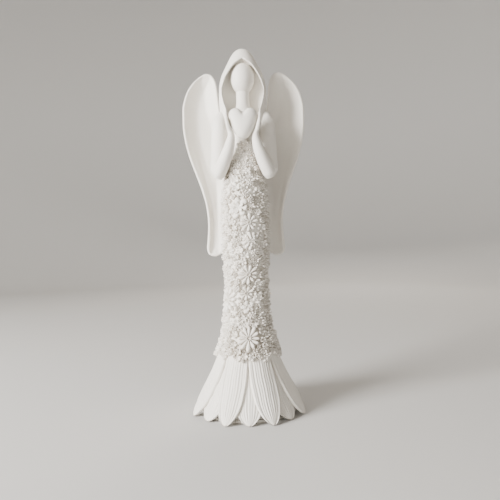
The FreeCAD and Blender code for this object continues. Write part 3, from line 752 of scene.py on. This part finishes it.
def veil_shell(inset, lift, top, hollow=1.0):
    """Closed skin of the veil, drawn in by inset, and with its foot lowered by lift. Hollow is the
    share of the depth that it keeps behind the head, where the casting is thick."""
    foot = VEIL[0][0] - lift
    z = np.concatenate([np.linspace(foot, top - 10, 84), np.linspace(top - 9.6, top, 28)])
    turn = np.linspace(-math.pi, math.pi, 140, endpoint=False)
    zz, a = np.meshgrid(z, turn, indexing="ij")
    width, depth, back = (smooth_curve([(k[0], k[i]) for k in VEIL]) for i in (1, 2, 3))
    fold_depth, fold_count, least = 0.28, 7, 0.2
    fold = fold_depth * np.cos(fold_count * a) * ramp(zz, 176, 150) * ramp(np.abs(a), 1.2, 2.0)
    w = np.maximum(width(zz + inset * 0.5) - inset, least) + fold
    d = np.maximum(depth(zz + inset * 0.5) - inset, least) + fold
    d = np.where(np.cos(a) < 0, d * hollow, d)
    points = np.stack([w * np.sin(a), back(zz) - d * np.cos(a), zz], -1)
    count = points.shape[0] * points.shape[1]
    faces = grid_faces(len(z), len(turn), closed=True)
    faces += [tuple(range(len(turn)))[::-1], tuple(range(count - len(turn), count))]
    return points, faces


def mouth_cutter():
    """Pointed arch that opens the hood's front: swept back to the cheeks, and less far in above
    the brow, where the casting is solid."""
    heights = np.linspace(MOUTH[0][0], MOUTH[-1][0], 60)
    half = smooth_curve(MOUTH)(heights)
    cheek, brow_step = -1.0, 2.6
    back = cheek - brow_step * ramp(heights, 182, 192)
    front = np.full_like(half, -CUT_REACH)
    ring = [(-half, front), (-half, back), (half, back), (half, front)]
    points = np.stack([np.stack([x, y, heights], -1) for x, y in ring], 1)
    faces = grid_faces(len(heights), len(ring), closed=True, flip=True)
    last = len(heights) * len(ring)
    faces += [(0, 1, 2, 3), (last - 1, last - 2, last - 3, last - 4)]
    return points, faces


def front_cutter():
    """Clears the veil in front of the arms below the shoulders, sloping down to the back."""
    shoulder, below = 165.4, 120.0
    profile = [(-CUT_REACH, shoulder), (-2.0, shoulder), (3.0, 162.0), (5.2, 156.0), (5.4, below),
               (-CUT_REACH, below)]
    left = np.array([(CUT_REACH, y, z) for y, z in profile])
    right = np.array([(-CUT_REACH, y, z) for y, z in profile])
    count = len(profile)
    faces = [tuple(range(count)), tuple(range(2 * count - 1, count - 1, -1))]
    faces += [(i, i + count, (i + 1) % count + count, (i + 1) % count) for i in range(count)]
    return np.concatenate([left, right]), faces


def subtract(obj, name, points, faces):
    """Cuts a closed shape out of an object."""
    cutter = make_object(name, points, faces)
    cut = obj.modifiers.new(name, "BOOLEAN")
    cut.operation = "DIFFERENCE"
    cut.solver = "EXACT"
    cut.object = cutter
    apply_modifiers(obj)
    bpy.data.objects.remove(cutter)


def veil():
    """Hooded veil, open round the face and draped down the back."""
    obj = make_object("veil_hood", *veil_shell(0.0, 0.0, VEIL[-1][0]))
    subtract(obj, "veil_inside", *veil_shell(VEIL_WALL, 3.0, HOLLOW_TOP, hollow=HOLLOW_SHARE))
    subtract(obj, "veil_mouth", *mouth_cutter())
    subtract(obj, "veil_front", *front_cutter())
    fuse(obj, voxel=0.34, smoothing=7)
    return finish_piece(obj, smooth_resin, "veil")


# ---------------------------------------------------------------- wings

# Ribs of the left wing from its top to its tail: (inner side, inner height, outer side, outer height)
WING_RIBS = [
    (20.0, 190.2, 21.4, 190.2),
    (17.8, 189.1, 24.0, 188.9),
    (15.8, 186.2, 27.6, 186.0),
    (14.7, 181.6, 31.0, 181.8),
    (14.1, 175.5, 33.7, 175.5),
    (13.2, 168.0, 34.9, 168.5),
    (10.4, 160.0, 34.9, 160.0),
    (7.2, 151.0, 33.8, 151.0),
    (5.4, 142.0, 31.4, 141.5),
    (6.2, 132.0, 28.0, 131.8),
    (8.8, 122.0, 24.6, 122.0),
    (11.0, 112.0, 22.2, 112.0),
    (11.8, 103.0, 21.5, 103.0),
    (12.0, 95.5, 22.0, 95.0),
    (12.6, 90.0, 22.5, 89.6),
    (14.0, 86.4, 21.6, 86.2),
    (17.2, 84.7, 19.0, 84.7),
]
# Along the wing's height: how deep it is hollowed, how far it stands behind the axis, and how
# far to the side its two flutes run
wing_hollow = smooth_curve([(84.0, 1.3), (100.0, 2.2), (125.0, 3.2), (160.0, 4.6), (180.0, 4.0), (191.5, 2.0)])
wing_setback = smooth_curve([(84.0, 9.2), (110.0, 8.9), (140.0, 8.7), (170.0, 8.9), (191.5, 10.2)])
outer_flute = smooth_curve([(84.0, 19.6), (92.0, 18.6), (104.0, 18.6), (120.0, 20.8), (134.0, 24.0),
                            (150.0, 27.5)])
inner_flute = smooth_curve([(84.0, 17.4), (92.0, 16.0), (104.0, 15.6), (120.0, 16.0), (134.0, 17.5),
                            (150.0, 20.0)])


def wing(name, side):
    """Spoon-shaped wing: a hollowed blade with a rolled rim and two flutes down the tail."""
    rows, cols = 190, 84
    knots = np.array(WING_RIBS)
    stations = np.arange(len(knots), dtype=float)
    s = np.linspace(0, len(knots) - 1, rows)
    crowded = 0.5 - 0.5 * np.cos(np.linspace(0, math.pi, cols))
    t = (0.55 * crowded + 0.45 * np.linspace(0, 1, cols))[None, :]
    inner_x, inner_z, outer_x, outer_z = (smooth_curve(list(zip(stations, k)))(s) for k in knots.T)
    x = inner_x[:, None] * (1 - t) + outer_x[:, None] * t
    z = inner_z[:, None] * (1 - t) + outer_z[:, None] * t
    width = np.hypot(outer_x - inner_x, outer_z - inner_z)[:, None]
    from_inner, from_outer = t * width, (1 - t) * width
    tail, top, end_slope = 84.6, 190.3, 0.9
    ends = np.minimum((z - tail) * end_slope, (top - z) * end_slope)
    margin = np.minimum(np.minimum(from_inner, from_outer), np.maximum(ends, 0.0))
    bowl_margin, rim_height = 9.0, 0.75
    bowl = wing_hollow(z) * ramp(margin, 0.0, bowl_margin)
    rim = rim_height * bump(margin, 1.0, 0.85) * ramp(x, 8.0, 12.0)
    groove, ridge, second_groove = 0.50, 0.35, 0.3
    fade = ramp(z, 148, 128) * ramp(z, 85, 91)
    off_outer, off_inner = x - outer_flute(z), x - inner_flute(z)
    flute = groove * bump(off_outer, 0, 1.0) * fade - ridge * bump(off_outer, 1.9, 1.0) * fade
    flute += second_groove * bump(off_inner, 0, 0.8) * fade * ramp(z, 140, 120)
    front_y = wing_setback(z) + bowl - rim + flute
    edge_thickness, extra_thickness = 1.2, 1.1
    thick = edge_thickness + extra_thickness * ramp(margin, 0.0, 1.6)
    back_y = front_y + rim + thick - 0.4 * flute
    front = np.stack([x, front_y, z], -1)
    back = np.stack([x, back_y, z], -1)
    points, faces = slab(front, back)
    if side > 0:
        faces = [face[::-1] for face in faces]
    obj = make_object(f"{name}_blade", mirrored(points, side), faces)
    fuse(obj, voxel=0.42, smoothing=5)
    return finish_piece(obj, smooth_resin, name)


# ---------------------------------------------------------------- studio

# Round soft lights: (degrees round from the front, degrees up, distance, size, watts, tint).
# Degrees round rise towards the figure's left, and distance and size are in metres.
SOFTBOXES = {
    "key_light": (-56, 15, 0.95, 0.46, 31.0, (1.0, 0.975, 0.94)),
    "front_fill": (-30, 30, 1.1, 0.9, 2.6, (1.0, 0.94, 0.84)),
    "back_fill": (165, 30, 1.1, 0.8, 6.0, (1.0, 0.92, 0.82)),
}
PAINT = (0.62, 0.615, 0.605, 1)
AIR = (1.0, 0.80, 0.55, 1)
AIR_STRENGTH = 0.11
CAMERA_PLACE = (0.0022, -0.279, 0.088)
CAMERA_ROLL = 1.24
CAMERA_LENS = 36.07


def studio_sweep():
    """Round floor that curves up into a wall; sizes in metres."""
    floor_radius, wall_height, bend = 1.5, 1.6, 0.5
    profile = [(r, 0.0) for r in np.linspace(0.05, floor_radius - bend, 20)]
    for a in np.linspace(0, math.pi / 2, 16)[1:]:
        profile.append((floor_radius - bend + bend * math.sin(a), bend - bend * math.cos(a)))
    profile.append((floor_radius, wall_height))
    turn = np.linspace(0, 2 * math.pi, 96, endpoint=False)
    rings = [[(r * math.cos(a), r * math.sin(a), z) for a in turn] for r, z in profile]
    points = np.array([p for ring in rings for p in ring]) / MM
    faces = grid_faces(len(rings), len(turn), closed=True)
    faces.append(tuple(range(len(turn)))[::-1])
    sweep = make_object("studio_sweep", points, faces)
    paint = bpy.data.materials.new("studio_paint")
    paint.use_nodes = True
    shader = paint.node_tree.nodes["Principled BSDF"]
    shader.inputs["Base Color"].default_value = PAINT
    shader.inputs["Roughness"].default_value = 0.9
    shader.inputs["Specular IOR Level"].default_value = 0.1
    sweep.data.materials.append(paint)


def softbox(name, azimuth, elevation, distance, size, power, tint):
    """Round area light that points at the middle of the figure."""
    middle = Vector((0, 0, 0.1))
    light = bpy.data.lights.new(name, "AREA")
    light.shape = "DISK"
    light.size = size
    light.energy = power
    light.color = tint
    obj = bpy.data.objects.new(name, light)
    a, e = math.radians(azimuth), math.radians(elevation)
    away = Vector((math.sin(a) * math.cos(e), -math.cos(a) * math.cos(e), math.sin(e)))
    obj.location = middle + away * distance
    obj.rotation_euler = (middle - obj.location).to_track_quat("-Z", "Y").to_euler()
    bpy.context.scene.collection.objects.link(obj)


def studio_camera():
    """Level camera in front of the figure, rolled a little as the figure leans in its view."""
    camera = bpy.data.cameras.new("front_camera")
    camera.sensor_width = 36.0
    camera.lens = CAMERA_LENS
    obj = bpy.data.objects.new("front_camera", camera)
    obj.location = CAMERA_PLACE
    obj.rotation_euler = (math.radians(90), math.radians(CAMERA_ROLL), 0)
    bpy.context.scene.collection.objects.link(obj)
    bpy.context.scene.camera = obj


def studio():
    """Pale round sweep, soft key from the viewer's left, weak fills, and the camera."""
    studio_sweep()
    world = bpy.data.worlds.new("studio_air")
    world.use_nodes = True
    world.node_tree.nodes["Background"].inputs["Color"].default_value = AIR
    world.node_tree.nodes["Background"].inputs["Strength"].default_value = AIR_STRENGTH
    bpy.context.scene.world = world
    for name, settings in SOFTBOXES.items():
        softbox(name, *settings)
    studio_camera()


# ---------------------------------------------------------------- build


def keep_cad_nodes():
    """The flat foot is shown as the CAD has it, in the same resin."""
    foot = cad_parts["base_plate"]
    foot.data.materials.clear()
    foot.data.materials.append(smooth_resin)


def main():
    rng = random.Random(SEED)
    keep_cad_nodes()
    body()
    hem(rng)
    main_flowers(rng)
    blossoms(rng)
    head()
    heart()
    for name, side in (("left", 1), ("right", -1)):
        arm(name, side)
        wing(f"wing_{name}", side)
    veil()
    studio()


main()
